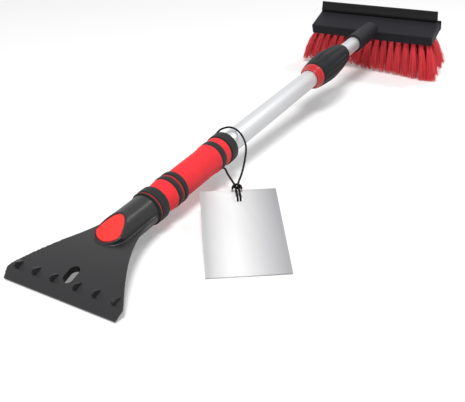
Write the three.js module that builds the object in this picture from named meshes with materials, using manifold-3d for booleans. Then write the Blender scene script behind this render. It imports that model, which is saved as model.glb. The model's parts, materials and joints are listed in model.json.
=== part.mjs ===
// A telescopic snow broom: an ice scraper with a foam grip at one end, two aluminium tubes
// held by a twist lock, and a brush head with a squeegee at the other end.
// Millimetres and degrees, +Z up, +Y from the scraper to the brush, +X to the right.
// The broom lies as it rests on a floor, on its scraper edge and its first row of bristles.
import * as THREE from 'three';
import { mergeVertices } from 'three/addons/utils/BufferGeometryUtils.js';
import Module from 'manifold-3d';

const wasm = await Module();
wasm.setup();

// Clearances
const seatGap = 0.3; // between pieces that are fixed to each other
const runningGap = 0.4; // between pieces that turn or slide on each other
const glideGap = 0.2; // between the glide bush and the outer tube
const past = 1; // how far a cutting shape runs past what it cuts

// Tubes
const outerTubeRadius = 11;
const outerTubeWall = 0.8;
const innerTubeWall = 0.8;
const tubeAirGap = 0.7; // radial space between the two tubes
const bareOuterTube = 201.3; // outer tube that shows between the grip and the collar
const bareInnerTube = 46.5; // inner tube that shows when the broom is pushed together
const travel = 300; // how far the inner tube pulls out
const neckDepth = 25; // tube inside the scraper's neck
const socketDepth = 58; // tube inside the brush head's socket
const tubeSides = 48;

// Scraper neck, measured back from its end face at station 0
const neckWall = 3.5;
const neckTaper = 0.4; // taken off the neck's radius at its end face
const noseStart = 44;
const noseLength = 15;
const cutTopHeight = 13.6; // the oblique face that carries the inlay
const cutTopStation = 33.2;
const cutAngle = 22.5;
const chinAngle = 19; // the sloped underside of the nose
const rimWidth = 0.8;
const inlayThickness = 2;
const inlayProud = 0.3;

// Scraper plate
const plateReach = 113.1; // from the neck's end face to the scraping edge
const plateTop = 1;
const plateThickness = 5;
const edgeWidth = 111.3;
const edgeThickness = 1.6;
const edgeTopDrop = 13.4; // below the pole's axis
const edgeLand = 2;
const crestSetback = 7.6; // from the edge to the crest that carries the teeth
const crestWidth = 115.8;
const crestRise = 6.4;
const droopStart = [-60.1, 1]; // station and height where the plate starts to droop
const droopPull = [-84.9, 0.2]; // control point of the droop's curve
const webHalfWidth = 15.2;
const webSetback = 4.5;
const fanPull = [38, -76]; // control points of the fan's curved side, [x, station]
const webPull = [18, -44.3];
const curveSteps = 8;
const slotLength = 16.2;
const slotWidth = 9.4;
const slotSetback = 18.6; // from the edge to the slot's middle
const toothLength = 10.4;
const toothWidth = 4.2;
const toothHeight = 6.4;
const toothTipShare = 0.25; // a tooth's size at its tip, as a share of its foot
const toothTipShift = 1.7; // its tip stands nearer the edge than its foot's middle
const toothSetback = 11;
const toothSlope = 24.8;
const toothSink = 0.6;
const toothSpots = [11.5, 30, 48.5];

// Screws that hold the neck and the socket on their tubes
const screwHeadRadius = 3.3;
const screwHeadHeight = 1.3;
const screwShankRadius = 1.5;
const screwGrip = 2.6; // how far the shank reaches inside the tube's outer face
const screwFloor = 1.4; // wall left under the screw head
const neckScrewSetback = 12;
const socketScrewSetback = 20;

// Foam grip, from the neck up: name, length, foam thickness along the length, colour
const foamRed = 0xf5383f;
const foamBlack = 0x2b2d2c;
const foamRings = [
  ['grip_disc_black', 1.7, [4.5, 4.5], foamBlack],
  ['grip_disc_red', 1.2, [4, 4], foamRed],
  ['grip_ring_lower', 10, [4.5, 4.7, 4.5], foamBlack],
  ['grip_sleeve_lower', 15, [2.4, 2.8, 3.5, 3.8], foamRed],
  ['grip_band_first', 5.5, [4.1, 4.3, 4.1], foamBlack],
  ['grip_stripe_red', 2.5, [3.7, 3.7], foamRed],
  ['grip_band_second', 6, [4.1, 4.3, 4.1], foamBlack],
  ['grip_sleeve_main', 58, [2.5, 2.9, 3.1, 3.1, 3, 3, 3.8], foamRed],
  ['grip_band_third', 8, [4, 4.2, 4.1], foamBlack],
  ['grip_sleeve_upper', 9, [3.6, 3.7], foamRed],
  ['grip_ring_end', 11.5, [4.7, 4.9, 4.7], foamBlack],
];
const foamEdge = 0.6; // how far a ring's corners are turned down
const foamSides = 32;

// Twist lock
const collarLength = 11.5;
const collarLip = 1.9; // straight start of the collar, before it widens to the flange
const collarWall = 0.9;
const flangeLength = 2.9;
const flangeWall = 4.2;
const shoulderDepth = 9; // tube pushed past the flange, up to its stop
const threadLength = 32;
const threadWall = 1.8;
const fingerLength = 24;
const fingerRootStep = 0.5; // how much thinner the fingers are than the thread
const fingerTipStep = 1.5;
const fingerSlot = 1.2;
const fingerCuts = 2; // each cut runs right across and parts two pairs of fingers
const sleeveLength = 88;
const sleeveEndWall = 8;
const sleeveRim = [[15.8, 0], [16.5, 2.6]]; // outside as [radius, distance from its start]
const sleeveBarrel = [[17.6, 15], [18.4, 31.7], [18.3, 44], [16.65, 68.6]];
const sleeveTail = [[13.9, 85.4], [12.9, 88]];
const fluteCount = 12;
const fluteDepth = 0.9;

// Glide bush on the end of the inner tube
const glideFlange = 13.7;
const glideSpigot = 18;
const glideWall = 2.2;
const glideChamfer = [0.8, 1.5];

// Brush head: its own frame starts at the front top edge, +Y to the squeegee
const headTilt = 17;
const socketWall = 2.7;
const socketReach = 62.2; // socket in front of the block
const socketOverlap = 6; // socket that runs on over the block's front edge
const socketChamfer = 2;
const blockWidth = 182.8;
const blockDepth = 38.5;
const blockThickness = 14.4;
const blockChamfer = 1.2;

// Squeegee
const holderOverhang = 0.3; // past each end of the block
const holderWidth = blockWidth + 2 * holderOverhang;
const holderDepth = 6.4;
const holderHeight = 13;
const holderDrop = 0.8; // below the block's top face
const rootWidth = 2.6;
const rootDepth = 5;
const lipInset = 3.2; // from each end of the rail
const lipWidth = holderWidth - 2 * lipInset;
const lipTip = [4.2, 13]; // [behind the root's middle, above the block's top face]
const lipThickness = 2.2;
const beadHeight = 2.7; // widest part of the bead, above its seat
const beadFrontWidth = 3.1;
const beadBackWidth = 3.5;
const beadTop = [4.3, 1.6, 3.4]; // above its seat, and its front and back half widths

// Bristles
const bristleRows = 4;
const tuftsPerRow = 17;
const strandsAcross = 3;
const strandsDeep = 2;
const bristleLength = 57;
const strandRadius = 0.75;
const strandTipRadius = 0.6;
const strandPitch = 2.1;
const tuftFan = 2.2; // how much wider a tuft is at its tips
const fieldMarginX = 6;
const fieldMarginY = 5.6;
const endSplay = 21; // sideways lean of the outermost tufts at their tips
const rowSplay = 4; // lean of the first and last rows
const backingThickness = 2.4;
const backingWidth = 6.6;
const backingEnd = 2.8;
const rootSink = 0.8;
const tipCut = 0.5; // flat cut where the bristles stand

// Hang tag, its cord and its knot
const tagWidth = 69;
const tagHeight = 104;
const tagThickness = 0.6;
const tagHoleRadius = 4;
const tagHoleInset = 12;
const tagPlace = [109.4, -259.6, 0.35]; // middle of its bottom edge
const tagTurn = 35.2;
const tagLean = 13.7; // its cord holds its top up
const cordDiameter = 1.8;
const cordSides = 8;
const cordSteps = 78;
const knotRadius = 3.2;
const knotSides = 24;
const knotSpan = [102.5, 107]; // from the tag's bottom edge, along the tag
const knotLift = 4.3; // above the tag's back
const strandSpread = 1.4; // from the knot's middle to each of the two strands

// The cord's two ends, through the tag's hole and the knot: [across, up, off] the tag
const cordTail = [
  [1.3, 88.4, -1.9], [1.3, 90.5, 0.5], [1.35, 93.7, 2.9], [1.4, 98, 4],
  [strandSpread, 102.5, knotLift], [strandSpread, 107, knotLift], [1.4, 110, 4.3],
];
// The cord's loop round the grip, from the left strand to the right one
const cordLoop = [
  [38.6, -165.3, 27.9], [26.6, -150.8, 25.2], [13.2, -136, 20.8], [4.8, -132.3, 15.6],
  [-6.8, -127.3, 16.6], [-15.5, -122.6, 24], [-18.1, -118, 34.5], [-15.3, -114.4, 42.5],
  [-10.2, -110.8, 47.2], [-6, -105.3, 49.1], [-2, -101.5, 49.4], [2.6, -99.5, 48.6],
  [8, -99.6, 46.6], [13.2, -101.5, 42.9], [18, -105.6, 39], [23.5, -113, 36],
  [29.3, -126.3, 34.1], [37, -142.5, 32.8], [44.2, -160, 31.9],
];

const degree = Math.PI / 180;
const outerBore = outerTubeRadius - outerTubeWall;
const innerTubeRadius = outerBore - tubeAirGap;
const innerBore = innerTubeRadius - innerTubeWall;
const neckBore = outerTubeRadius + seatGap;
const neckRadius = neckBore + neckWall;

const plastic = { roughness: 0.5, metalness: 0 };
const materials = {
  blackPlastic: { color: 0x3c3c3e, ...plastic },
  redPlastic: { color: 0xf0413f, ...plastic },
  foam: { roughness: 0.85, metalness: 0 },
  aluminium: { color: 0xd9dadc, roughness: 0.35, metalness: 0.9 },
  steel: { color: 0xa8abae, roughness: 0.35, metalness: 1 },
  rubber: { color: 0x262628, roughness: 0.7, metalness: 0 },
  bristle: { color: 0xc4232c, roughness: 0.6, metalness: 0 },
  card: { color: 0xdcdcde, roughness: 0.4, metalness: 0 },
  cord: { color: 0x141414, roughness: 0.7, metalness: 0 },
};

// ---- Geometry helpers ----

// Leaves only positions, joins equal vertices and drops triangles without area.
function closed(geometry) {
  const bare = new THREE.BufferGeometry();
  bare.setAttribute('position', geometry.getAttribute('position'));
  if (geometry.index) bare.setIndex(geometry.index);
  const merged = mergeVertices(bare, 1e-5);
  const index = merged.index.array;
  const kept = [];
  for (let i = 0; i < index.length; i += 3) {
    const [a, b, c] = [index[i], index[i + 1], index[i + 2]];
    if (a !== b && b !== c && c !== a) kept.push(a, b, c);
  }
  merged.setIndex(kept);
  return merged;
}

function solid(geometry) {
  const shape = closed(geometry);
  return new wasm.Manifold(new wasm.Mesh({
    numProp: 3,
    vertProperties: new Float32Array(shape.getAttribute('position').array),
    triVerts: new Uint32Array(shape.index.array),
  }));
}

function geometryOf(body) {
  const { vertProperties, triVerts, numProp } = body.getMesh();
  const geometry = new THREE.BufferGeometry();
  const position = new Float32Array((vertProperties.length / numProp) * 3);
  for (let i = 0; i < position.length / 3; i++) {
    for (let k = 0; k < 3; k++) position[3 * i + k] = vertProperties[numProp * i + k];
  }
  geometry.setAttribute('position', new THREE.BufferAttribute(position, 3));
  geometry.setIndex(new THREE.BufferAttribute(new Uint32Array(triVerts), 1));
  return geometry;
}

// A turned shape round the Y axis; each point is [radius, station].
function turned(points, sides = tubeSides) {
  return new THREE.LatheGeometry(points.map(([r, y]) => new THREE.Vector2(r, y)), sides);
}

// A turned ring or tube: its profile closes on itself.
function turnedRing(points, sides = tubeSides) {
  return turned([...points, points[0]], sides);
}

function tube(outer, inner, from, to) {
  return turnedRing([[outer, from], [outer, to], [inner, to], [inner, from]]);
}

function rod(radius, from, to, sides = tubeSides) {
  return turned([[0, from], [radius, from], [radius, to], [0, to]], sides);
}

// A side profile of [station, height] points, extruded across X and centred.
function sideProfile(points, width) {
  const shape = new THREE.Shape(points.map(([y, z]) => new THREE.Vector2(y, z)));
  const geometry = new THREE.ExtrudeGeometry(shape, { depth: width, bevelEnabled: false });
  const alongX = new THREE.Matrix4().makeBasis(
    new THREE.Vector3(0, 1, 0), new THREE.Vector3(0, 0, 1), new THREE.Vector3(1, 0, 0));
  return geometry.applyMatrix4(alongX).translate(-width / 2, 0, 0);
}

// A plan shape in X and Y, extruded from one height to another.
function plan(shape, from, to) {
  const options = { depth: to - from, bevelEnabled: false, curveSegments: 16 };
  return new THREE.ExtrudeGeometry(shape, options).translate(0, 0, from);
}

function box(size, centre) {
  return new THREE.BoxGeometry(...size).translate(...centre);
}

const model = new THREE.Group();
const pole = new THREE.Group();
model.add(pole);

function addMesh(parent, name, geometry, material) {
  const mesh = new THREE.Mesh(closed(geometry), new THREE.MeshStandardMaterial(material));
  mesh.name = name;
  parent.add(mesh);
  return mesh;
}

// ---- Screws ----

// Both screws come up from below, through the wall round a bore and into the tube in it.
function screwSpot(station, boreRadius) {
  const seat = boreRadius + screwFloor;
  const shankTop = boreRadius - screwGrip;
  const place = (geometry) => geometry.rotateX(-Math.PI / 2).translate(0, station, 0);
  const headFrom = seat + seatGap;
  const headTo = headFrom + screwHeadHeight;
  const holeRadius = screwShankRadius + seatGap;
  return {
    screw: place(turned([
      [0, shankTop], [screwShankRadius, shankTop], [screwShankRadius, headFrom],
      [screwHeadRadius, headFrom], [screwHeadRadius, headTo - screwHeadHeight / 2],
      [screwHeadRadius / 2, headTo], [0, headTo],
    ], 24)),
    hole: solid(place(rod(holeRadius, shankTop - runningGap, headTo + boreRadius, 24))),
    recess: solid(place(rod(screwHeadRadius + seatGap, seat, headTo + boreRadius, 24))),
  };
}

// ---- Scraper ----

// The neck's round body with its rounded nose; an inset makes it smaller all round.
function neckBody(inset) {
  const radius = neckRadius - inset;
  const noseTip = noseStart + noseLength;
  const barrel = solid(turned([
    [0, -noseTip - past], [radius, -noseTip - past], [radius, -neckDepth],
    [radius - neckTaper, 0], [0, 0],
  ]));
  const side = neckRadius + past;
  const outline = new THREE.Shape();
  outline.moveTo(side, past);
  outline.lineTo(-side, past);
  outline.lineTo(-side, -noseStart);
  outline.lineTo(-radius, -noseStart);
  outline.absellipse(0, -noseStart, radius, noseLength - inset, Math.PI, 2 * Math.PI, false);
  outline.lineTo(side, -noseStart);
  return barrel.intersect(solid(plan(outline, -side, side)));
}

// Everything above the oblique inlay face, moved by an offset along its normal.
function aboveCut(offset) {
  const reach = noseStart + noseLength + neckRadius;
  const along = [Math.cos(cutAngle * degree), Math.sin(cutAngle * degree)];
  const start = [-cutTopStation - offset * along[1], cutTopHeight + offset * along[0]];
  const low = [start[0] - along[0] * reach, start[1] - along[1] * reach];
  const high = [start[0] + along[0] * neckRadius, start[1] + along[1] * neckRadius];
  const top = high[1] + neckRadius;
  return solid(sideProfile([low, high, [high[0], top], [low[0], top]], 4 * neckRadius));
}

// Everything under the sloped chin of the nose.
function belowChin() {
  const tip = noseStart + noseLength;
  const slope = Math.tan(chinAngle * degree);
  const foot = plateTop - plateThickness;
  const back = -tip + neckRadius / slope;
  return solid(sideProfile([
    [-tip - neckRadius, foot + neckRadius * slope], [-tip - neckRadius, -3 * neckRadius],
    [back, -3 * neckRadius], [back, foot - (back + tip) * slope],
  ], 4 * neckRadius));
}

// The plate's side profile: flat by the neck, drooping to the crest, then the bevel.
function plateProfile(floorSlope) {
  const crest = [-plateReach + crestSetback, -edgeTopDrop + crestRise];
  const top = new THREE.QuadraticBezierCurve(
    new THREE.Vector2(...droopStart), new THREE.Vector2(...droopPull),
    new THREE.Vector2(...crest));
  const edgeLow = -edgeTopDrop - edgeThickness;
  const landEnd = [-plateReach + edgeLand, edgeLow - edgeLand * floorSlope];
  const under = new THREE.QuadraticBezierCurve(
    new THREE.Vector2(...landEnd),
    new THREE.Vector2(droopPull[0], droopPull[1] - plateThickness),
    new THREE.Vector2(droopStart[0], droopStart[1] - plateThickness));
  return [
    [-webSetback, plateTop - plateThickness], [-webSetback, plateTop],
    ...top.getPoints(curveSteps).map((p) => [p.x, p.y]),
    [-plateReach, -edgeTopDrop], [-plateReach, edgeLow],
    ...under.getPoints(curveSteps).map((p) => [p.x, p.y]),
  ];
}

// The plate's plan: a fan that curves in to the webs along the neck.
function plateOutline() {
  const crest = [crestWidth / 2, -plateReach + crestSetback];
  const web = [webHalfWidth, -webSetback];
  const outline = new THREE.Shape();
  outline.moveTo(-edgeWidth / 2, -plateReach);
  outline.lineTo(edgeWidth / 2, -plateReach);
  outline.lineTo(...crest);
  outline.bezierCurveTo(...fanPull, ...webPull, ...web);
  outline.lineTo(-web[0], web[1]);
  outline.bezierCurveTo(-webPull[0], webPull[1], -fanPull[0], fanPull[1], -crest[0], crest[1]);
  return outline;
}

function hangingSlot() {
  const half = (slotLength - slotWidth) / 2;
  const middle = -plateReach + slotSetback;
  const shape = new THREE.Shape();
  shape.absarc(0, middle + half, slotWidth / 2, 0, Math.PI, false);
  shape.absarc(0, middle - half, slotWidth / 2, Math.PI, 2 * Math.PI, false);
  return solid(plan(shape, -4 * edgeTopDrop, 4 * edgeTopDrop));
}

// A narrow blunt fin on the crest, square to the slope there, with its tip over its front.
function tooth(x) {
  const halfFoot = Math.SQRT2; // so that the turned square below measures 2 across
  const fin = new THREE.CylinderGeometry(halfFoot * toothTipShare, halfFoot, toothHeight, 4);
  fin.rotateY(Math.PI / 4).translate(0, toothHeight / 2, 0);
  fin.scale(toothWidth / 2, 1, toothLength / 2);
  const lean = new THREE.Matrix4().set(
    1, 0, 0, 0, 0, 1, 0, 0, 0, toothTipShift / toothHeight, 1, 0, 0, 0, 0, 1);
  fin.applyMatrix4(lean).rotateX(Math.PI / 2 + toothSlope * degree);
  const foot = -edgeTopDrop + crestRise - toothSink;
  return solid(fin.translate(x, -plateReach + toothSetback, foot));
}

function makeScraper(floorSlope) {
  const screw = screwSpot(-neckScrewSetback, neckBore);
  const profile = solid(sideProfile(plateProfile(floorSlope), crestWidth + 2 * past));
  let head = profile.intersect(solid(plan(plateOutline(), -4 * edgeTopDrop, 4 * edgeTopDrop)));
  head = head.add(neckBody(0).subtract(aboveCut(0)).subtract(belowChin()));
  for (const spot of toothSpots) head = head.add(tooth(spot)).add(tooth(-spot));
  head = head.subtract(solid(rod(neckBore, -neckDepth, past)));
  head = head.subtract(neckBody(rimWidth).intersect(aboveCut(-inlayThickness)));
  head = head.subtract(hangingSlot()).subtract(screw.hole).subtract(screw.recess);
  addMesh(pole, 'scraper_head', geometryOf(head), materials.blackPlastic);

  const inlay = neckBody(rimWidth + seatGap)
    .intersect(aboveCut(seatGap - inlayThickness))
    .subtract(aboveCut(inlayProud));
  addMesh(pole, 'neck_inlay', geometryOf(inlay), materials.redPlastic);
  addMesh(pole, 'scraper_screw', screw.screw, materials.steel);
  return screw.hole;
}

// ---- Grip ----

// One foam ring; its thickness is read along its length, with its corners turned down.
function foamRing(from, length, thicknesses) {
  const bore = outerTubeRadius + seatGap;
  const edge = Math.min(foamEdge, length / 4);
  const last = thicknesses.length - 1;
  const outer = thicknesses.map((t, i) => {
    const inset = i === 0 ? edge : i === last ? -edge : 0;
    return [bore + t, from + (length * i) / last + inset];
  });
  const low = [bore + thicknesses[0] - edge, from];
  const high = [bore + thicknesses[last] - edge, from + length];
  const inside = [[bore, from + length], [bore, from]];
  return turnedRing([low, ...outer, high, ...inside], foamSides);
}

function makeGrip() {
  let station = seatGap;
  for (const [name, length, thicknesses, color] of foamRings) {
    const material = { color, ...materials.foam };
    addMesh(pole, name, foamRing(station, length, thicknesses), material);
    station += length + seatGap;
  }
  return station - seatGap;
}

// ---- Twist lock and tubes ----

function makeColletBase(start, flangeEnd, tubeStop) {
  const bore = innerTubeRadius + seatGap;
  const seat = outerTubeRadius + seatGap;
  const thread = seat + threadWall;
  const threadEnd = flangeEnd + threadLength;
  const tip = threadEnd + fingerLength;
  let body = solid(turnedRing([
    [seat, start], [seat + collarWall, start], [seat + collarWall, start + collarLip],
    [seat + flangeWall, flangeEnd - flangeLength], [seat + flangeWall, flangeEnd],
    [thread, flangeEnd], [thread, threadEnd],
    [thread - fingerRootStep, threadEnd], [thread - fingerTipStep, tip],
    [bore, tip], [bore, tubeStop + seatGap], [seat, tubeStop + seatGap],
  ]));
  for (let i = 0; i < fingerCuts; i++) {
    const slot = box([fingerSlot, fingerLength, 4 * thread], [0, tip + past - fingerLength / 2, 0]);
    body = body.subtract(solid(slot.rotateY((i * Math.PI) / fingerCuts)));
  }
  addMesh(pole, 'collet_base', geometryOf(body), materials.redPlastic);
  return { thread, threadEnd, tip };
}

// The sleeve's outside is a barrel; its flutes fade out at both rims.
function makeSleeve(start, collet) {
  const end = start + sleeveLength;
  const bore = innerTubeRadius + runningGap;
  const tipBore = collet.thread - fingerTipStep + runningGap;
  const outside = [...sleeveRim, ...sleeveBarrel, ...sleeveTail].map(([r, y]) => [r, start + y]);
  const geometry = turnedRing([
    ...outside,
    [bore, end], [bore, end - sleeveEndWall],
    [tipBore, end - sleeveEndWall], [tipBore, collet.tip],
    [collet.thread - fingerRootStep + runningGap, collet.threadEnd],
    [collet.thread + runningGap, collet.threadEnd],
    [collet.thread + runningGap, start],
  ], fluteCount * 4);
  const position = geometry.getAttribute('position');
  for (let i = 0; i < position.count; i++) {
    const [x, y, z] = [position.getX(i), position.getY(i), position.getZ(i)];
    const radius = Math.hypot(x, z);
    const onBarrel = sleeveBarrel.some(([r, from]) => (
      Math.abs(r - radius) < 0.01 && Math.abs(start + from - y) < 0.01));
    if (!onBarrel) continue;
    const wave = (1 - Math.cos(fluteCount * Math.atan2(x, z))) / 2;
    const scale = 1 - (fluteDepth * wave) / radius;
    position.setXYZ(i, x * scale, y, z * scale);
  }
  addMesh(pole, 'twist_lock_sleeve', geometry, materials.blackPlastic);
}

function makeOuterTube(tubeStop, screwHole) {
  const tubeSolid = solid(tube(outerTubeRadius, outerBore, seatGap - neckDepth, tubeStop));
  const geometry = geometryOf(tubeSolid.subtract(screwHole));
  addMesh(pole, 'outer_tube', geometry, materials.aluminium);
}

function makeInnerTube(start, end, screwHole) {
  const tubeSolid = solid(tube(innerTubeRadius, innerBore, start, end));
  const geometry = geometryOf(tubeSolid.subtract(screwHole));
  addMesh(pole, 'inner_tube', geometry, materials.aluminium);

  const flange = outerBore - glideGap;
  const spigot = innerBore - seatGap;
  const shoulder = start - seatGap;
  const bush = turnedRing([
    [flange - glideChamfer[0], shoulder - glideFlange],
    [flange, shoulder - glideFlange + glideChamfer[1]],
    [flange, shoulder], [spigot, shoulder], [spigot, shoulder + glideSpigot],
    [spigot - glideWall, shoulder + glideSpigot], [spigot - glideWall, shoulder - glideFlange],
  ]);
  addMesh(pole, 'glide_bush', bush, { color: 0xe8e8e6, ...plastic });
}

// ---- Brush head ----

const rowPitch = (blockDepth - 2 * fieldMarginY) / (bristleRows - 1);
const tuftPitch = (blockWidth - 2 * fieldMarginX) / (tuftsPerRow - 1);
const backingPocket = backingThickness + seatGap;
const backingReach = blockWidth / 2 - backingEnd;
const rowStation = (row) => fieldMarginY + row * rowPitch;

function makeBrushBlock(headFrame, socketStart, screw) {
  const c = blockChamfer;
  const block = solid(sideProfile([
    [0, -c], [c, 0], [blockDepth, 0], [blockDepth, -blockThickness],
    [c, -blockThickness], [0, c - blockThickness],
  ], blockWidth).applyMatrix4(headFrame));
  const socketRadius = innerTubeRadius + seatGap + socketWall;
  const socketEnd = socketStart + socketReach + socketOverlap;
  const socket = solid(turned([
    [0, socketStart], [socketRadius, socketStart],
    [socketRadius, socketEnd - socketChamfer], [socketRadius - socketChamfer, socketEnd],
    [0, socketEnd],
  ]));
  const below = box([blockWidth, blockWidth, blockWidth], [0, 0, -blockThickness - blockWidth / 2]);
  const bore = rod(innerTubeRadius + seatGap, socketStart - past, socketStart + socketDepth);
  let body = block.add(socket.subtract(solid(below.applyMatrix4(headFrame))));
  body = body.subtract(solid(bore));
  for (let row = 0; row < bristleRows; row++) {
    const size = [2 * (backingReach + seatGap), backingWidth + 2 * seatGap, 2 * backingPocket];
    const pocket = box(size, [0, rowStation(row), -blockThickness]);
    body = body.subtract(solid(pocket.applyMatrix4(headFrame)));
  }
  body = body.subtract(screw.hole).subtract(screw.recess);
  addMesh(pole, 'brush_block', geometryOf(body), materials.blackPlastic);
  addMesh(pole, 'socket_screw', screw.screw, materials.steel);
}

function makeSqueegee(head) {
  const rootMiddle = blockDepth + seatGap + holderDepth / 2;
  const channel = [rootWidth + 2 * seatGap, rootDepth + 2 * seatGap];
  const rail = box([holderWidth, holderDepth, holderHeight],
    [0, rootMiddle, -holderDrop - holderHeight / 2]);
  const groove = box([holderWidth + 2 * past, channel[0], 2 * channel[1]],
    [0, rootMiddle, -holderDrop]);
  const holder = solid(rail).subtract(solid(groove));
  addMesh(head, 'squeegee_holder', geometryOf(holder), materials.blackPlastic);

  const root = rootWidth / 2;
  const rootLow = -holderDrop - rootDepth;
  const seat = seatGap - holderDrop;
  const [topHeight, topFront, topBack] = beadTop;
  const blade = sideProfile([
    [-root, rootLow], [root, rootLow], [root, seat], [beadFrontWidth, seat],
    [beadBackWidth, seat + beadHeight], [topBack, seat + topHeight],
    [lipTip[0], lipTip[1]], [lipTip[0] - lipThickness, lipTip[1]],
    [-topFront, seat + topHeight], [-beadFrontWidth, seat + beadHeight],
    [-beadFrontWidth, seat], [-root, seat],
  ], lipWidth).translate(0, rootMiddle, 0);
  addMesh(head, 'squeegee_blade', blade, materials.rubber);
}

// Where a strand starts and ends, in the head's frame.
function strandEnds(row, tuft, across, deep) {
  const half = (tuftsPerRow - 1) / 2;
  const share = (tuft - half) / half;
  const lean = endSplay * Math.sign(share) * share * share;
  const rowShare = (2 * row) / (bristleRows - 1) - 1;
  const dx = (across - (strandsAcross - 1) / 2) * strandPitch;
  const dy = (deep - (strandsDeep - 1) / 2) * strandPitch;
  const x = share * half * tuftPitch;
  const y = rowStation(row);
  return {
    root: [x + dx, y + dy, rootSink - blockThickness],
    tip: [x + lean + dx * tuftFan, y + rowShare * rowSplay + dy * tuftFan,
      -blockThickness - bristleLength],
  };
}

// All strands of a row, as three-sided prisms in one geometry.
function strandPrisms(row) {
  const position = [];
  const index = [];
  for (let tuft = 0; tuft < tuftsPerRow; tuft++) {
    for (let across = 0; across < strandsAcross; across++) {
      for (let deep = 0; deep < strandsDeep; deep++) {
        const first = position.length / 3;
        const ends = strandEnds(row, tuft, across, deep);
        for (const [centre, radius] of [[ends.tip, strandTipRadius], [ends.root, strandRadius]]) {
          for (let k = 0; k < 3; k++) {
            const angle = (2 * Math.PI * k) / 3 - Math.PI / 2;
            position.push(centre[0] + radius * Math.cos(angle),
              centre[1] + radius * Math.sin(angle), centre[2]);
          }
        }
        index.push(first, first + 2, first + 1, first + 3, first + 4, first + 5);
        for (let k = 0; k < 3; k++) {
          const [a, b] = [first + k, first + ((k + 1) % 3)];
          index.push(a, b, b + 3, a, b + 3, a + 3);
        }
      }
    }
  }
  const geometry = new THREE.BufferGeometry();
  geometry.setAttribute('position', new THREE.Float32BufferAttribute(position, 3));
  geometry.setIndex(index);
  return geometry;
}

function makeBristles(head, floor) {
  for (let row = 0; row < bristleRows; row++) {
    const middle = backingThickness / 2 - blockThickness;
    const size = [2 * backingReach, backingWidth, backingThickness];
    const backing = solid(box(size, [0, rowStation(row), middle]));
    const bank = backing.add(solid(strandPrisms(row))).subtract(floor);
    addMesh(head, `bristle_row_${row + 1}`, geometryOf(bank), materials.bristle);
  }
}

// ---- Rest on the floor ----

// The lowest corner of the first row's tips, as [station, height] from the pole's axis.
function lowestTip(headStart) {
  const { tip } = strandEnds(0, 0, 0, 0);
  const y = tip[1] - strandTipRadius;
  const sin = Math.sin(headTilt * degree);
  const cos = Math.cos(headTilt * degree);
  return [headStart + y * cos - tip[2] * sin, y * sin + tip[2] * cos];
}

// The space under the floor, in the head's frame.
function underFloor(floorSlope, headFrame) {
  const edgeLow = -edgeTopDrop - edgeThickness;
  const far = 4 * plateReach + bareOuterTube + travel;
  const reach = 2 * blockWidth;
  const profile = [
    [-plateReach, edgeLow], [-plateReach, edgeLow - reach],
    [far, edgeLow - reach], [far, edgeLow - (far + plateReach) * floorSlope],
  ];
  return solid(sideProfile(profile, 2 * reach).applyMatrix4(headFrame.clone().invert()));
}

// ---- Hang tag, knot and cord ----

function makeTag() {
  const tag = new THREE.Group();
  tag.position.set(...tagPlace);
  tag.rotation.set(tagLean * degree, 0, tagTurn * degree, 'ZXY');
  tag.updateMatrix();
  model.add(tag);

  const shape = new THREE.Shape();
  shape.moveTo(-tagWidth / 2, 0);
  shape.lineTo(tagWidth / 2, 0);
  shape.lineTo(tagWidth / 2, tagHeight);
  shape.lineTo(-tagWidth / 2, tagHeight);
  const hole = new THREE.Path();
  hole.absarc(0, tagHeight - tagHoleInset, tagHoleRadius, 0, 2 * Math.PI, true);
  shape.holes.push(hole);
  addMesh(tag, 'hang_tag', plan(shape, 0, tagThickness), materials.card);

  let knot = solid(rod(knotRadius, ...knotSpan, knotSides));
  const bore = rod(cordDiameter / 2 + seatGap, knotSpan[0] - past, knotSpan[1] + past, knotSides);
  for (const x of [-strandSpread, strandSpread]) {
    knot = knot.subtract(solid(bore.clone().translate(x, 0, 0)));
  }
  addMesh(tag, 'tag_knot', geometryOf(knot).translate(0, 0, knotLift), materials.cord);
  return tag.matrix;
}

// One cord: up through the hole and the knot, round the grip and back the same way.
function makeCord(tagMatrix) {
  const strand = (side) => cordTail.map(([x, y, z]) => (
    new THREE.Vector3(side * x, y, z).applyMatrix4(tagMatrix)));
  const loop = cordLoop.map((point) => new THREE.Vector3(...point));
  const route = new THREE.CatmullRomCurve3([...strand(-1), ...loop, ...strand(1).reverse()]);
  const section = new THREE.Shape();
  for (let i = 0; i < cordSides; i++) {
    const angle = (2 * Math.PI * i) / cordSides;
    const point = [Math.cos(angle), Math.sin(angle)].map((v) => (v * cordDiameter) / 2);
    if (i === 0) section.moveTo(...point);
    else section.lineTo(...point);
  }
  const options = { steps: cordSteps, extrudePath: route, bevelEnabled: false };
  addMesh(model, 'tag_cord', new THREE.ExtrudeGeometry(section, options), materials.cord);
}

// ---- Assembly ----

const gripTop = foamRings.reduce((sum, ring) => sum + ring[1] + seatGap, 0);
const collarStart = gripTop + bareOuterTube;
const flangeEnd = collarStart + collarLength;
const tubeStop = flangeEnd + shoulderDepth;
const sleeveStart = flangeEnd + runningGap;
const socketStart = sleeveStart + sleeveLength + bareInnerTube;
const headStart = socketStart + socketReach;
const innerTubeStart = tubeStop - travel - runningGap;
const headFrame = new THREE.Matrix4().makeRotationX(headTilt * degree);
headFrame.setPosition(0, headStart, 0);

const tipLow = lowestTip(headStart);
const edgeLow = -edgeTopDrop - edgeThickness;
const floorSlope = (edgeLow - tipLow[1] - tipCut) / (tipLow[0] + plateReach);

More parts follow.
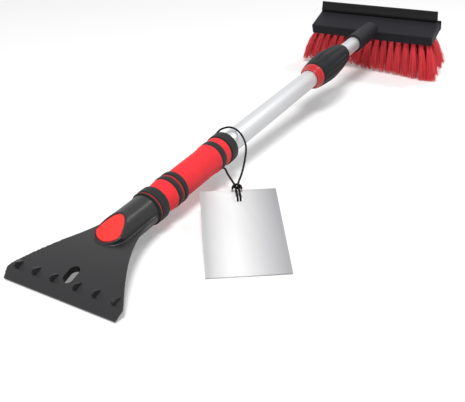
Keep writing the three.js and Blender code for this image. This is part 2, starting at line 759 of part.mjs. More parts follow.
const neckScrewHole = makeScraper(floorSlope);
makeGrip();
makeOuterTube(tubeStop, neckScrewHole);
const collet = makeColletBase(collarStart, flangeEnd, tubeStop);
makeSleeve(sleeveStart, collet);
const socketScrew = screwSpot(socketStart + socketScrewSetback, innerTubeRadius + seatGap);
makeInnerTube(innerTubeStart, socketStart + socketDepth - seatGap, socketScrew.hole);
makeBrushBlock(headFrame, socketStart, socketScrew);

const head = new THREE.Group();
head.applyMatrix4(headFrame);
pole.add(head);
makeSqueegee(head);
makeBristles(head, underFloor(floorSlope, headFrame));

// The pole lies tilted, so that the edge and the bristles both touch the floor at z = 0.
pole.rotation.x = Math.atan(floorSlope);
pole.updateMatrixWorld(true);
const bounds = new THREE.Box3().setFromObject(pole, true);
pole.position.set(0, -(bounds.min.y + bounds.max.y) / 2, -bounds.min.z);

makeCord(makeTag());

export default model;
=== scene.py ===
"""A telescopic snow broom: scraper, foam grip, two tubes, twist lock, brush head and tag.

Lengths typed in the code are millimetres and are turned to metres where a mesh is made.
The pole's own frame has +Y along the pole, from the end face of the scraper's neck, and
+Z up. The head's own frame starts at the front top edge of the brush block.
"""
import json
import math

import bpy
import numpy as np
from mathutils import Matrix, Vector


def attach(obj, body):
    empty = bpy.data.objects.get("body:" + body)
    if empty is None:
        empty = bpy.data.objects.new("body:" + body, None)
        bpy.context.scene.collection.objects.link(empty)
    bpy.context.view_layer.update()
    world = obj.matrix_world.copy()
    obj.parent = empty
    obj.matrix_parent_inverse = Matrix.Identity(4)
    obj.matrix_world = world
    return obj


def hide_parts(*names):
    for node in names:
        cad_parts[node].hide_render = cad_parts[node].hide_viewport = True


bl_info = {
    "name": "Snow Broom",
    "version": (1, 0, 0),
    "blender": (4, 5, 0),
    "location": "3D View > Sidebar > Broom",
    "description": "Models a telescopic snow broom with its tag, on a plain stage",
    "category": "Add Mesh",
}

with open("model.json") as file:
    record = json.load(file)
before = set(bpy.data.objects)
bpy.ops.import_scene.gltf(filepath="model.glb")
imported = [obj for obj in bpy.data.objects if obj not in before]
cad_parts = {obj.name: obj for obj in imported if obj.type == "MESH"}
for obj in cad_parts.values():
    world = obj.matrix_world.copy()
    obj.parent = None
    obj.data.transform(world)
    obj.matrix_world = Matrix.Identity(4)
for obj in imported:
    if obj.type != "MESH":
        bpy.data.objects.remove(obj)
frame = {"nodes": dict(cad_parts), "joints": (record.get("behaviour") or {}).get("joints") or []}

MM = 0.001
JOINTS = {joint["name"]: joint for joint in frame["joints"]}
POLE_AXIS = JOINTS["tube_slide"]["axis"]
POLE_TILT = math.atan2(POLE_AXIS[2], POLE_AXIS[1])
POLE_STATION = 246.344  # distance along the pole from the neck's end face to y = 0
POLE = (
    Matrix.Translation(JOINTS["head_swivel"]["pos_m"])
    @ Matrix.Rotation(POLE_TILT, 4, "X")
    @ Matrix.Translation((0, -POLE_STATION * MM, 0))
)
HEAD_START = 541.6
HEAD_TILT = 17
HEAD = (
    POLE
    @ Matrix.Translation((0, HEAD_START * MM, 0))
    @ Matrix.Rotation(math.radians(HEAD_TILT), 4, "X")
)
TAG = (
    Matrix.Translation((0.1094, -0.2596, 0.00035))
    @ Matrix.Rotation(math.radians(35.2), 4, "Z")
    @ Matrix.Rotation(math.radians(13.7), 4, "X")
)

# Measures along the pole that several pieces share
OUTER_BORE, INNER_BORE = 11.3, 9.8  # radii of the bores that take the two tubes
NECK_SCREW, SOCKET_SCREW = -12, 499.4
SLEEVE_START, SLEEVE_LENGTH = 344.9, 88
THREAD_END, COLLET_TIP = 376.5, 400.5
EDGE = -113.1  # the scraping edge
HEAD_GRAIN = 0.6  # voxel of the brush head's blended surface
FLUTES = 12

# The cord's two ends, through the tag's hole and the knot, in the tag's frame
CORD_TAIL = [
    (1.3, 88.4, -2.2), (1.3, 89, 0.3), (1.3, 91.3, 3),
    (1.4, 96, 4.3), (1.4, 101.5, 4.4), (1.5, 105.8, 4.4),
    (2.2, 109.5, 4.3),
]
KNOT_SHIFT = -0.85  # the knot sits a little left of the hole
# The cord's loop round the grip, from the left strand to the right one
CORD_LOOP = [
    (36, -163.9, 27.7), (23.7, -149.2, 24), (11.2, -133.1, 19.8),
    (3, -124.6, 16.3), (-5.1, -117.9, 17.2), (-11.9, -114.4, 21.4),
    (-16, -112.7, 27.8), (-16.8, -111, 35), (-14.9, -109.1, 41),
    (-9.4, -107.2, 48), (-6.9, -102.8, 49), (-3.4, -99.5, 49.3),
    (1.6, -98.3, 48.5), (7.9, -99.4, 46.3), (13.4, -101.7, 43),
    (18.7, -106.1, 39.5), (24.9, -115.2, 36.8), (31.7, -128.9, 34.9),
    (38.6, -144.1, 33.4), (45.1, -159.9, 32),
]

# Foam rings from the neck up: node, start, length, foam thickness along it, colour
FOAM_RINGS = [
    ("grip_disc_black", 0.3, 1.7, (4.5, 4.5), "black"),
    # This thin red disc and the red stripe below use a darker red: painted shade for their recess
    # between the black rings
    ("grip_disc_red", 2.3, 1.2, (4.0, 4.0), "shade_painted_red"),
    ("grip_ring_lower", 3.8, 10.0, (4.5, 4.7, 4.5), "black"),
    ("grip_sleeve_lower", 14.1, 15.0, (2.4, 2.8, 3.5, 3.8), "red"),
    ("grip_band_first", 29.4, 5.5, (4.1, 4.3, 4.1), "black"),
    ("grip_stripe_red", 35.2, 2.5, (3.7, 3.7), "shade_painted_red"),
    ("grip_band_second", 38.0, 6.0, (4.1, 4.3, 4.1), "black"),
    ("grip_sleeve_main", 44.3, 58.0, (2.5, 2.9, 3.0, 3.1, 3.1, 3.1, 3.1, 3.3, 4.2), "red"),
    ("grip_band_third", 102.6, 8.0, (4.0, 4.2, 4.1), "black"),
    ("grip_sleeve_upper", 110.9, 9.0, (3.6, 3.7), "red"),
    ("grip_ring_end", 120.2, 11.5, (4.7, 4.9, 4.7), "black"),
]


# ---- Properties ----

def linear(hex_colour):
    """An sRGB hex value as the linear colour that Blender's sockets take."""
    channels = [int(hex_colour[i:i + 2], 16) / 255 for i in (0, 2, 4)]
    return [c / 12.92 if c <= 0.04045 else ((c + 0.055) / 1.055) ** 2.4 for c in channels]


def length(name, millimetres, description):
    return bpy.props.FloatProperty(
        name=name, description=description, default=millimetres * MM,
        min=0.0, precision=5, unit="LENGTH",
    )


def colour(name, hex_colour, description):
    return bpy.props.FloatVectorProperty(
        name=name, description=description, default=linear(hex_colour),
        min=0.0, max=1.0, size=3, subtype="COLOR",
    )


class BroomSizes(bpy.types.PropertyGroup):
    """Sizes of the broom that a user would change."""

    outer_tube: length("Outer tube", 11, "Outside radius of the outer tube")
    inner_tube: length("Inner tube", 9.5, "Outside radius of the inner tube")
    tube_wall: length("Tube wall", 0.8, "Wall thickness of both tubes")
    neck: length("Neck", 14.8, "Outside radius of the scraper's neck")
    scraper_grain: length("Scraper mesh", 0.55, "Voxel of the scraper's blended surface")
    foam_corner: length("Foam corner", 0.7, "Rounding of the foam rings' corners")
    sleeve_flute: length("Flute depth", 1.1, "Depth of the twist lock's flutes")
    block_width: length("Block width", 182.8, "Width of the brush block")
    block_depth: length("Block depth", 38.5, "Depth of the brush block")
    block_height: length("Block height", 14.4, "Height of the brush block")
    bristle: length("Bristle length", 57, "Length of the bristles below the block")
    strand: length("Strand", 0.5, "Thickness of one bristle")
    strands_per_tuft: bpy.props.IntProperty(
        name="Strands per tuft", description="Number of bristles in one tuft",
        default=150, min=1, max=180,
    )
    tag_width: length("Tag width", 69, "Width of the hang tag")
    tag_height: length("Tag height", 104, "Height of the hang tag")
    cord: length("Cord", 2.0, "Thickness of the tag's cord")


class BroomColours(bpy.types.PropertyGroup):
    """Colours of the broom that a user would change."""

    scraper: colour("Scraper", "28282a", "Black plastic of the scraper")
    head: colour("Brush head", "252529", "Black plastic of the brush block")
    sleeve: colour("Lock sleeve", "202224", "Black plastic of the twist lock's sleeve")
    inlay: colour("Inlay", "f13834", "Red plastic in the scraper's neck")
    collar: colour("Collar", "c62427", "Red plastic of the twist lock's collar")
    red_foam: colour("Red foam", "f63039", "Red foam of the grip")
    # The red foam darkened with painted shade, for the thin discs that sit recessed between black
    # rings
    shade_painted_red_foam: colour("Red foam, painted shade", "b4242d", "Thin red discs of the grip")
    black_foam: colour("Black foam", "232624", "Black foam of the grip")
    aluminium: colour("Aluminium", "d6d7d9", "Anodised tubes")
    rubber: colour("Rubber", "222223", "Squeegee blade")
    bristle: colour("Bristles", "fd3443", "Red bristles")
    card_light: colour("Card, light", "f2f2f2", "Pale part of the tag")
    card_dark: colour("Card, dark", "a6a6a9", "Grey part of the tag")
    cord: colour("Cord", "0a0a0a", "Black cord of the tag")


# ---- Modelling helpers ----

def deselect():
    bpy.ops.object.select_all(action="DESELECT")


def activate(piece):
    deselect()
    piece.select_set(True)
    bpy.context.view_layer.objects.active = piece


def named(name):
    """Names the primitive that was just added, and its mesh."""
    piece = bpy.context.object
    piece.name = piece.data.name = name
    return piece


def edit_all():
    """Enters edit mode with the whole mesh selected."""
    bpy.ops.object.mode_set(mode="EDIT")
    bpy.ops.mesh.select_all(action="SELECT")


def close_up(merge=True):
    """Merges doubles, turns the normals outwards and ends edit mode."""
    edit_all()
    if merge:
        bpy.ops.mesh.remove_doubles(threshold=1e-6)
    bpy.ops.mesh.normals_make_consistent(inside=False)
    bpy.ops.object.mode_set(mode="OBJECT")


def turned(name, rings, sides=96, hollow=True):
    """A piece turned round +Y through rings of (radius, station)."""
    deselect()
    radius, station = rings[0]
    bpy.ops.mesh.primitive_circle_add(
        vertices=sides, radius=radius * MM, fill_type="NOTHING" if hollow else "NGON",
        location=(0, station * MM, 0), rotation=(math.pi / 2, 0, 0),
    )
    piece = named(name)
    edit_all()
    for next_radius, next_station in rings[1:] + (rings[:1] if hollow else []):
        bpy.ops.mesh.extrude_region_move(
            TRANSFORM_OT_translate={"value": (0, (next_station - station) * MM, 0)}
        )
        grow = next_radius / radius
        bpy.ops.transform.resize(
            value=(grow, 1, grow), center_override=(0, next_station * MM, 0)
        )
        radius, station = next_radius, next_station
    close_up()
    return piece


def drawn(name, outline, middle, width):
    """An outline of (y, z) points about a middle, extruded along X and centred on it."""
    deselect()
    bpy.ops.mesh.primitive_circle_add(vertices=len(outline), radius=MM, fill_type="NGON")
    piece = named(name)
    for vertex, (y, z) in zip(piece.data.vertices, outline):
        vertex.co = (-width / 2 * MM, (middle + y) * MM, z * MM)
    edit_all()
    bpy.ops.mesh.extrude_region_move(TRANSFORM_OT_translate={"value": (width * MM, 0, 0)})
    close_up()
    return piece


def box(name, size, centre):
    """A cuboid to cut with or to bevel."""
    deselect()
    bpy.ops.mesh.primitive_cube_add(size=1, location=[c * MM for c in centre])
    piece = named(name)
    piece.scale = [s * MM for s in size]
    bpy.ops.object.transform_apply()
    return piece


def rod(name, radius, depth, centre, sides=48):
    """A cylinder along Z."""
    deselect()
    bpy.ops.mesh.primitive_cylinder_add(
        vertices=sides, radius=radius * MM, depth=depth * MM,
        location=[c * MM for c in centre],
    )
    return named(name)


def linked(name, data):
    """A new object that shows the data, made active."""
    piece = bpy.data.objects.new(name, data)
    bpy.context.scene.collection.objects.link(piece)
    activate(piece)
    return piece


def modified(piece, kind, **settings):
    """Adds a modifier, gives it its settings and applies it."""
    activate(piece)
    bpy.ops.object.modifier_add(type=kind)
    modifier = piece.modifiers[-1]
    for key, value in settings.items():
        setattr(modifier, key, value)
    bpy.ops.object.modifier_apply(modifier=modifier.name)
    return piece


def bevelled(piece, width, segments=3, angle=35):
    return modified(
        piece, "BEVEL", width=width * MM, segments=segments, limit_method="ANGLE",
        angle_limit=math.radians(angle), harden_normals=False,
    )


def combined(piece, other, operation):
    """Cuts, joins or crosses a piece with another one, which is used up."""
    modified(piece, "BOOLEAN", object=other, operation=operation, solver="EXACT")
    bpy.data.objects.remove(other, do_unlink=True)
    return piece


def joined(pieces):
    """Makes one object of several, under the first one's name."""
    deselect()
    for piece in pieces:
        piece.select_set(True)
    bpy.context.view_layer.objects.active = pieces[0]
    bpy.ops.object.join()
    return pieces[0]


def cross_cut(piece, size, centre):
    """Cuts two slots through a piece that cross on its Y axis."""
    for turn in (0, math.pi / 2):
        slot = box("cross_slot", size, centre)
        slot.rotation_euler = (0, turn, 0)
        combined(piece, slot, "DIFFERENCE")


def blended(piece, voxel):
    """Melts a piece's overlapping bodies into one skin with small fillets, as moulded."""
    modified(piece, "REMESH", mode="VOXEL", voxel_size=voxel)
    return modified(piece, "SMOOTH", factor=0.5, iterations=3)


def sliced(piece, point, normal):
    """Cuts a piece by a plane, drops what lies on the normal's side and fills the cut."""
    activate(piece)
    edit_all()
    bpy.ops.mesh.bisect(
        plane_co=[c * MM for c in point], plane_no=normal, use_fill=True, clear_outer=True
    )
    close_up()


def placed(piece, matrix):
    """Moves a piece into place and leaves its object at the origin."""
    activate(piece)
    piece.matrix_world = matrix @ piece.matrix_world
    bpy.ops.object.transform_apply()
    return piece


def finished(piece, matrix, material, body, slot, *nodes, angle=40):
    """Places a piece, gives it its material and shading, and stands it in for nodes."""
    placed(piece, matrix)
    piece.data.materials.clear()
    piece.data.materials.append(material)
    if piece.type == "MESH":
        bpy.ops.object.shade_smooth_by_angle(angle=math.radians(angle))
    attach(piece, body)
    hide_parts(*nodes)


def bezier(t, *points):
    """A Bezier curve of any degree through its first and last point, at t."""
    while len(points) > 1:
        points = [(1 - t) * a + t * b for a, b in zip(points, points[1:])]
    return points[0]


# ---- Materials ----

def add_node(owner, kind, inputs=None, **settings):
    """Adds a node to a material or world; an input is a value or a socket to link."""
    tree = owner.node_tree
    node = tree.nodes.new(kind)
    for key, value in settings.items():
        setattr(node, key, value)
    for key, value in (inputs or {}).items():
        if isinstance(value, bpy.types.NodeSocket):
            tree.links.new(value, node.inputs[key])
        else:
            node.inputs[key].default_value = value
    return node


def surface(name, base, roughness, **inputs):
    """A material of one shader; inputs use underscores for the spaces in socket names."""
    material = bpy.data.materials.new(name)
    material.use_nodes = True
    shader = material.node_tree.nodes["Principled BSDF"]
    shader.inputs["Base Color"].default_value = (*base, 1)
    shader.inputs["Roughness"].default_value = roughness
    for key, value in inputs.items():
        shader.inputs[key.replace("_", " ")].default_value = value
    return material


def feed(material, socket, output):
    """Links an output to a socket of the material's shader."""
    tree = material.node_tree
    tree.links.new(output, tree.nodes["Principled BSDF"].inputs[socket])


def coordinates(material, repeats, turn=(0, 0, 0)):
    """Object coordinates, turned and then scaled by pattern repeats per metre."""
    scale = repeats if isinstance(repeats, tuple) else (repeats,) * 3
    where = add_node(material, "ShaderNodeTexCoord")
    turned_to = add_node(
        material, "ShaderNodeMapping", {"Vector": where.outputs["Object"], "Rotation": turn}
    )
    return add_node(
        material, "ShaderNodeMapping", {"Vector": turned_to.outputs["Vector"], "Scale": scale}
    ).outputs["Vector"]


def noise(material, repeats, detail, turn=(0, 0, 0)):
    """A noise pattern's socket; repeats are per metre, the same all round or per axis."""
    vector = coordinates(material, repeats, turn)
    return add_node(
        material, "ShaderNodeTexNoise", {"Vector": vector, "Scale": 1.0, "Detail": detail}
    ).outputs["Fac"]


def colour_ramp(material, share):
    """Colours a material by a ramp over a socket, and returns the ramp's stops."""
    ramp = add_node(material, "ShaderNodeValToRGB", {"Fac": share})
    feed(material, "Base Color", ramp.outputs["Color"])
    return ramp.color_ramp.elements


def relief(material, height, depth, strength):
    """Bumps a surface by a height socket; depth is in mm."""
    bump = add_node(
        material, "ShaderNodeBump",
        {"Height": height, "Distance": depth * MM, "Strength": strength},
    )
    feed(material, "Normal", bump.outputs["Normal"])


def mottled(material, repeats, base, share):
    """Lets the base colour drift a little, as real moulded or foamed material does."""
    dark, light = colour_ramp(material, noise(material, repeats, 3.0))
    dark.position, light.position = 0.3, 0.7
    dark.color = (*[c * (1 - share) for c in base], 1)
    light.color = (*[min(1, c * (1 + share)) for c in base], 1)


def moulded_abs(name, base, roughness=0.5, gloss=0.3):
    """Moulded ABS with a fine spark-eroded grain: dark, with a soft broad sheen."""
    material = surface(name, base, roughness, IOR=1.53, Specular_IOR_Level=gloss)
    mottled(material, 25, base, 0.06)
    # Grain of 0.45 mm, as on tool housings
    relief(material, noise(material, 2200, 2.0), 0.04, 0.35)
    return material


def glossy_abs(name, base, roughness=0.28):
    """Polished moulded ABS: clear colour under a smooth skin with faint flow waves."""
    material = surface(name, base, roughness, IOR=1.53, Specular_IOR_Level=0.3)
    mottled(material, 40, base, 0.04)
    relief(material, noise(material, (160, 60, 160), 1.0), 0.05, 0.15)
    return material


def eva_foam(name, base):
    """Closed-cell EVA foam, ground to shape: matt, with open cells of about half a mm."""
    material = surface(
        name, base, 0.75, IOR=1.45, Sheen_Weight=0.12, Specular_IOR_Level=0.3
    )
    mottled(material, 90, base, 0.05)
    cells = add_node(
        material, "ShaderNodeTexVoronoi",
        {"Vector": coordinates(material, 1900), "Scale": 1.0},
    )
    relief(material, cells.outputs["Distance"], 0.08, 0.5)
    return material


def anodised_aluminium(name, base):
    """Drawn tube, satin anodised: a soft metallic sheen with fine lines along the tube."""
    material = surface(name, base, 0.5, Metallic=1.0)
    # Drawing lines a third of a mm apart and some 60 mm long
    lines = noise(material, (3000, 16, 3000), 2.0, (-POLE_TILT, 0, 0))
    relief(material, lines, 0.02, 0.25)
    rough = add_node(
        material, "ShaderNodeMapRange", {"Value": lines, "To Min": 0.42, "To Max": 0.58}
    )
    feed(material, "Roughness", rough.outputs["Result"])
    return material


def plated_steel(name):
    """Zinc-plated steel: bright, slightly cloudy metal."""
    base = linear("b4b6b8")
    material = surface(name, base, 0.34, Metallic=1.0)
    mottled(material, 700, base, 0.12)
    return material


def moulded_rubber(name, base):
    """Extruded rubber: dead matt black with faint lines along the blade."""
    material = surface(name, base, 0.72, IOR=1.5, Specular_IOR_Level=0.15)
    mottled(material, 60, base, 0.08)
    relief(material, noise(material, (25, 1400, 1400), 1.0), 0.05, 0.3)
    return material


def bristle_plastic(name, base):
    """Extruded polypropylene strands, each a little lighter or darker than the next."""
    material = surface(
        name, base, 0.4, IOR=1.49, Sheen_Weight=0.3, Sheen_Roughness=0.4
    )
    tint = add_node(material, "ShaderNodeAttribute", attribute_name="tint")
    dark, light = colour_ramp(material, tint.outputs["Fac"])
    dark.color = (*[c * 0.92 for c in base], 1)
    light.color = (*[min(1, c * 1.05 + 0.04) for c in base], 1)
    return material


def coated_card(name, light, dark):
    """Pearl-coated card: white with a soft silver shade to both sides."""
    material = surface(name, light, 0.58, IOR=1.5)
    own = add_node(material, "ShaderNodeUVMap", uv_map="card")
    across = add_node(material, "ShaderNodeSeparateXYZ", {"Vector": own.outputs["UV"]})
    stops = colour_ramp(material, across.outputs["X"])

    def shade(share):
        return (*[share * a + (1 - share) * b for a, b in zip(light, dark)], 1)

    stops[0].position, stops[0].color = 0.04, shade(0.32)
    stops[1].position, stops[1].color = 0.96, shade(0)
    for place, share in ((0.12, 0.62), (0.27, 0.95), (0.4, 1.0), (0.62, 0.58), (0.75, 0.33)):
        stops.new(place).color = shade(share)
    relief(material, noise(material, 900, 2.0), 0.01, 0.15)
    return material


def braided_cord(name, base):
    """Braided elastic cord: matt black with a plait of crossing strands."""
    material = surface(name, base, 0.7, IOR=1.5, Specular_IOR_Level=0.2)
    vector = coordinates(material, 1)
    heights = []
    for direction in ("X", "Y", "Z"):
        # Plait repeats of 0.9 mm
        wave = add_node(
            material, "ShaderNodeTexWave", {"Vector": vector, "Scale": 350.0},
            bands_direction=direction,
        )
        heights.append(wave.outputs["Fac"])
    both = add_node(
        material, "ShaderNodeMath", {0: heights[0], 1: heights[1]}, operation="MULTIPLY"
    )
    plait = add_node(
        material, "ShaderNodeMath", {0: both.outputs["Value"], 1: heights[2]}, operation="ADD"
    )
    relief(material, plait.outputs["Value"], 0.1, 0.6)
    return material


def acetal(name):
    """Moulded acetal of the guide bush: milky white and slippery."""
    base = linear("e8e8e4")
    material = surface(name, base, 0.4, IOR=1.48)
    mottled(material, 120, base, 0.05)
    return material


# ---- Stage ----

def area_light(name, place, target, size, power):
    """A soft box that looks at a point."""
    deselect()
    bpy.ops.object.light_add(type="AREA", location=place)
    lamp = named(name)
    lamp.data.shape = "DISK"
    lamp.data.size = size
    lamp.data.energy = power
    lamp.rotation_euler = (Vector(target) - Vector(place)).to_track_quat("-Z", "Y").to_euler()


class BROOM_OT_stage(bpy.types.Operator):
    """Adds the camera, the white floor and the lamps"""

    bl_idname = "broom.stage"
    bl_label = "Stage"

    def execute(self, context):
        deselect()
        bpy.ops.object.camera_add()
        camera = named("camera")
        right = Vector((0.86172, 0.50726, -0.01143))
        down = Vector((0.22551, -0.40306, -0.88695))
        ahead = Vector((-0.45452, 0.76173, -0.46172))
        camera.matrix_world = Matrix.Translation((0.31526, -0.62908, 0.28676)) @ Matrix(
            (right, -down, -ahead)
        ).transposed().to_4x4()
        camera.data.sensor_fit = "HORIZONTAL"
        camera.data.sensor_width = 36
        camera.data.lens = 50.33
        camera.data.clip_end = 50
        context.scene.camera = camera

        deselect()
        bpy.ops.mesh.primitive_plane_add(size=12, location=(0, 0, -0.0005))
        floor = named("floor")
        floor.data.materials.append(self.seamless_paper())
        self.light_world(context.scene)
        area_light("key_light", (0.71, -1.4, 3.22), (0, 0.05, 0), 1.1, 92)
        area_light("back_light", (0.6, 1.05, 1.55), (0, -0.25, 0.03), 0.3, 4.8)
        context.scene.view_settings.view_transform = "Standard"
        return {"FINISHED"}

    def seamless_paper(self):
        """White studio paper that the camera sees as clear white where no shadow falls."""
        material = surface("white_seamless_paper", linear("e8e8e8"), 0.9)
        tree = material.node_tree
        light = add_node(material, "ShaderNodeLightPath")
        strength = add_node(
            material, "ShaderNodeMath", {0: light.outputs["Is Camera Ray"], 1: 0.25},
            operation="MULTIPLY",
        )
        glow = add_node(
            material, "ShaderNodeEmission", {"Strength": strength.outputs["Value"]}
        )
        both = add_node(
            material, "ShaderNodeAddShader",
            {0: tree.nodes["Principled BSDF"].outputs["BSDF"], 1: glow.outputs["Emission"]},
        )
        tree.links.new(both.outputs["Shader"], tree.nodes["Material Output"].inputs["Surface"])
        return material

    def light_world(self, scene):
        """A white surround for the camera and for reflections, and a weaker light."""
        world = bpy.data.worlds.new("white_studio")
        world.use_nodes = True
        scene.world = world
        path = add_node(world, "ShaderNodeLightPath")
        seen = add_node(
            world, "ShaderNodeMath",
            {0: path.outputs["Is Camera Ray"], 1: path.outputs["Is Glossy Ray"]},
            operation="MAXIMUM",
        )
        strength = add_node(
            world, "ShaderNodeMapRange",
            {"Value": seen.outputs["Value"], "To Min": 0.3, "To Max": 1.0},
        )
        tree = world.node_tree
        background = tree.nodes["Background"]
        background.inputs["Color"].default_value = (1, 1, 1, 1)
        tree.links.new(strength.outputs["Result"], background.inputs["Strength"])


# ---- Cord, knot and tag ----

def smooth_line(points, count):
    """Centripetal curve through points, sampled at even steps of its parameter."""
    points = [np.array(p) for p in points]
    ends = [2 * points[0] - points[1], 2 * points[-1] - points[-2]]
    padded = [ends[0], *points, ends[1]]
    line = []
    for step in range(count + 1):
        place = (len(points) - 1) * step / count
        i = min(int(place), len(points) - 2)
        t = place - i
        a, b, c, d = padded[i:i + 4]
        ab, bc, cd = (np.linalg.norm(q - p) ** 0.5 for p, q in ((a, b), (b, c), (c, d)))
        start = ((b - a) / ab - (c - a) / (ab + bc) + (c - b) / bc) * bc
        end = ((c - b) / bc - (d - b) / (bc + cd) + (d - c) / cd) * bc
        line.append(
            b + start * t + (3 * (c - b) - 2 * start - end) * t ** 2
            + (2 * (b - c) + start + end) * t ** 3
        )
    return line


def cord_tube(name, points, thickness):
    """A round cord along points, as a closed mesh with the curve's own UV map."""
    curve = bpy.data.curves.new(name, "CURVE")
    curve.dimensions = "3D"
    curve.bevel_depth = thickness / 2
    curve.bevel_resolution = 3
    curve.use_fill_caps = True
    spline = curve.splines.new("POLY")
    spline.points.add(len(points) - 1)
    for knot, point in zip(spline.points, points):
        knot.co = (*point, 1)
    linked(name, curve)
    bpy.ops.object.convert(target="MESH")
    piece = bpy.context.object
    close_up()
    return piece


class BROOM_OT_cord(bpy.types.Operator):
    """Models the tag's cord and its knot"""

    bl_idname = "broom.cord"
    bl_label = "Cord and knot"

    def execute(self, context):
        thickness = context.scene.broom_sizes.cord
        material = braided_cord("braided_elastic_cord", context.scene.broom_colours.cord)
        tails = [
            [
                TAG @ (Vector((side * x + KNOT_SHIFT * max(0, y - 90) / 14, y, z)) * MM)
                for x, y, z in CORD_TAIL
            ] for side in (-1, 1)
        ]
        route = [*tails[0], *[Vector(p) * MM for p in CORD_LOOP], *reversed(tails[1])]
        line = smooth_line(route, 280)
        cord = cord_tube("tag_cord_braid", line, thickness)
        finished(cord, Matrix(), material, "handle", "cord_black", "tag_cord", angle=60)

        knot = self.knot(thickness)
        finished(knot, Matrix(), material, "handle", "cord_black", "tag_knot", angle=60)
        return {"FINISHED"}

    def knot(self, thickness):
        """A turn round both strands, and an arch over them with drooping ends."""
        turn = [
            (2.9 * math.cos(a), 104.1 + 0.2 * a, 4.4 + 1.8 * math.sin(a))
            for a in np.linspace(-0.6 * math.pi, 1.6 * math.pi, 40)
        ]
        arch = smooth_line([
            (-4.1, 101.0, 3.6), (-4.1, 102.3, 4.6), (-3.1, 103.7, 5.9), (-1.3, 104.6, 6.5),
            (0.9, 104.6, 6.5), (2.9, 103.6, 5.9), (3.8, 102.2, 4.6), (3.8, 101.0, 3.6),
        ], 40)
        parts = []
        for name, line in (("tag_knot_turn", turn), ("knot_arch", arch)):
            points = [TAG @ (Vector((x + KNOT_SHIFT, y, z)) * MM) for x, y, z in line]
            parts.append(cord_tube(name, points, thickness * 0.98))
        return joined(parts)


class BROOM_OT_tag(bpy.types.Operator):
    """Models the card tag"""

    bl_idname = "broom.tag"
    bl_label = "Hang tag"

    def execute(self, context):
        sizes = context.scene.broom_sizes
        colours = context.scene.broom_colours
        width, height = sizes.tag_width / MM, sizes.tag_height / MM
        card = box("tag_card", (width, height, 0.6), (0, height / 2, 0.3))
        hole = rod("hole", 4, 4, (0, height - 12, 0), sides=64)
        combined(card, hole, "DIFFERENCE")
        bevelled(card, 0.12, segments=2)
        chart = card.data.uv_layers.new(name="card")
        for corner in card.data.loops:
            x, y, _ = card.data.vertices[corner.vertex_index].co
            chart.data[corner.index].uv = (x / sizes.tag_width + 0.5, y / sizes.tag_height)
        material = coated_card("pearl_coated_card", colours.card_light, colours.card_dark)
        finished(card, TAG, material, "handle", "tag_card", "hang_tag")
        return {"FINISHED"}


# ---- Scraper ----

def neck_barrel(name, radius, nose, taper):
    """The neck's round body with its nose rounded in plan."""
    barrel = turned(name, [
        (radius, -62), (radius, -36), (radius - taper, -25), (radius - taper, 0),
    ], sides=160, hollow=False)
    plan = rod("nose_plan", 1, 80, (0, -44, 0), sides=160)
    plan.scale = (radius, nose, 1)
    bpy.ops.object.transform_apply()
    for vertex in plan.data.vertices:
        if vertex.co.y > -43.99 * MM:
            vertex.co.x *= 1.2
            vertex.co.y += 46 * MM
    return combined(barrel, plan, "INTERSECT")


def cut_plane(offset, side=1):
    """The neck's oblique face: a point moved along its normal, and the side to drop."""
    slope = math.radians(22.5)
    normal = Vector((0, -math.sin(slope), math.cos(slope)))
    return Vector((0, -31.6, 13.6)) + offset * normal, side * normal


def screw_cutters(station, bore):
    """The seat and the hole of a screw under a bore."""
    seat = rod("screw_seat", 3.6, 6, (0, station, -bore - 4.4))
    hole = rod("screw_hole", 1.8, 8, (0, station, -bore - 0.7))
    return [seat, hole]


